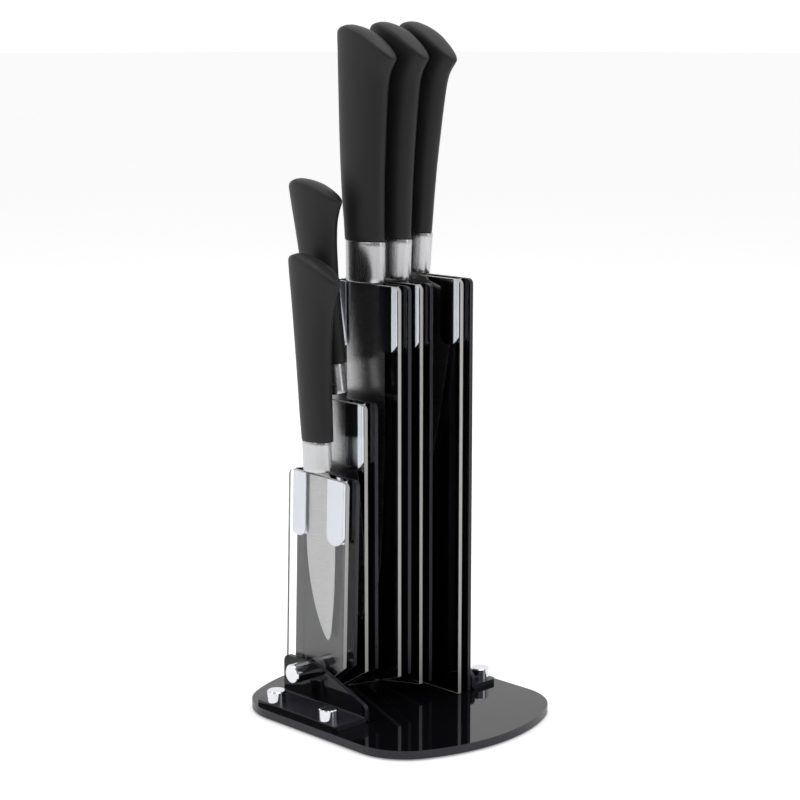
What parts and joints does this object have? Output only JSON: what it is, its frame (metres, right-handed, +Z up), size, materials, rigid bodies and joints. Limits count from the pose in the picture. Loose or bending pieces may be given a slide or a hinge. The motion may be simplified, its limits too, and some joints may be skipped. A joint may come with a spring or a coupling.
{
  "type": "knife block with knives",
  "caption": "Fan-out knife block of clear and black plates swinging on one bolt, each plate pair holding a kitchen knife upright.",
  "frame": {"origin": "centre of the footprint, on the table", "axes": "+Z up; the plates lie in XZ planes and are stacked along +Y from the front holder to the rear one; the holders fan out towards +X"},
  "size_m": [0.157, 0.1306, 0.3787],
  "materials": {
    "clear_acrylic": "clear polished acrylic",
    "black_acrylic": "polished black acrylic",
    "polished_steel": "mirror",
    "brushed_steel": "brushed along the knife",
    "blade_steel": "fine ground across the blade",
    "handle_soft": "soft-touch matt",
    "pad_rubber": "matt",
    "spacer_nylon": "satin",
    "screw_steel": "plain"
  },
  "bodies": {
    "stand": {"base_plate": "black_acrylic", "base_pads": "pad_rubber", "front_bracket": "black_acrylic", "rear_bracket": "black_acrylic", "front_cap_left": "polished_steel", "front_cap_right": "polished_steel", "rear_cap_left": "polished_steel", "rear_cap_right": "polished_steel", "base_screws": "screw_steel", "pivot_bolt": "polished_steel", "pivot_nut": "polished_steel", "pivot_washers": "polished_steel", "pivot_spacers": "spacer_nylon", "h5_front_plate": "clear_acrylic", "h5_back_plate": "black_acrylic", "h5_clips": "polished_steel", "h5_bush": "clear_acrylic"},
    "holder_1": {"h1_front_plate": "clear_acrylic", "h1_back_plate": "black_acrylic", "h1_clips": "polished_steel", "h1_bush": "clear_acrylic"},
    "holder_2": {"h2_front_plate": "clear_acrylic", "h2_back_plate": "black_acrylic", "h2_clips": "polished_steel", "h2_bush": "clear_acrylic"},
    "holder_3": {"h3_front_plate": "clear_acrylic", "h3_back_plate": "black_acrylic", "h3_clips": "polished_steel", "h3_bush": "clear_acrylic"},
    "holder_4": {"h4_front_plate": "clear_acrylic", "h4_back_plate": "black_acrylic", "h4_clips": "polished_steel", "h4_bush": "clear_acrylic"},
    "knife_1": {"k1_handle": "handle_soft", "k1_bolster": "brushed_steel", "k1_blade": "blade_steel"},
    "knife_2": {"k2_handle": "handle_soft", "k2_bolster": "brushed_steel", "k2_blade": "blade_steel"},
    "knife_3": {"k3_handle": "handle_soft", "k3_bolster": "brushed_steel", "k3_blade": "blade_steel"},
    "knife_4": {"k4_handle": "handle_soft", "k4_bolster": "brushed_steel", "k4_blade": "blade_steel"},
    "knife_5": {"k5_handle": "handle_soft", "k5_bolster": "brushed_steel", "k5_blade": "blade_steel"}
  },
  "joints": [
    {"name": "holder_1_swing", "type": "hinge", "parent": "stand", "child": "holder_1", "pos_m": [-0.0324, -0.0318, 0.0239], "axis": [0, 1, 0], "range_deg": [-1.8, 52.2]},
    {"name": "holder_2_swing", "type": "hinge", "parent": "stand", "child": "holder_2", "pos_m": [-0.0324, -0.01523, 0.0239], "axis": [0, 1, 0], "range_deg": [0, 43]},
    {"name": "holder_3_swing", "type": "hinge", "parent": "stand", "child": "holder_3", "pos_m": [-0.0324, 0.00134, 0.0239], "axis": [0, 1, 0], "range_deg": [0, 23]},
    {"name": "holder_4_swing", "type": "hinge", "parent": "stand", "child": "holder_4", "pos_m": [-0.0324, 0.01791, 0.0239], "axis": [0, 1, 0], "range_deg": [0, 10]},
    {"name": "knife_1_lift", "type": "slide", "parent": "holder_1", "child": "knife_1", "axis": [-0.0436, 0, 0.999], "range_m": [0, 0.11]},
    {"name": "knife_2_lift", "type": "slide", "parent": "holder_2", "child": "knife_2", "axis": [-0.1564, 0, 0.9877], "range_m": [0, 0.145]},
    {"name": "knife_3_lift", "type": "slide", "parent": "holder_3", "child": "knife_3", "axis": [0, 0, 1], "range_m": [0, 0.215]},
    {"name": "knife_4_lift", "type": "slide", "parent": "holder_4", "child": "knife_4", "axis": [0.0401, 0, 0.9992], "range_m": [0, 0.215]},
    {"name": "knife_5_lift", "type": "slide", "parent": "stand", "child": "knife_5", "axis": [0.0958, 0, 0.9954], "range_m": [0, 0.215]}
  ]
}
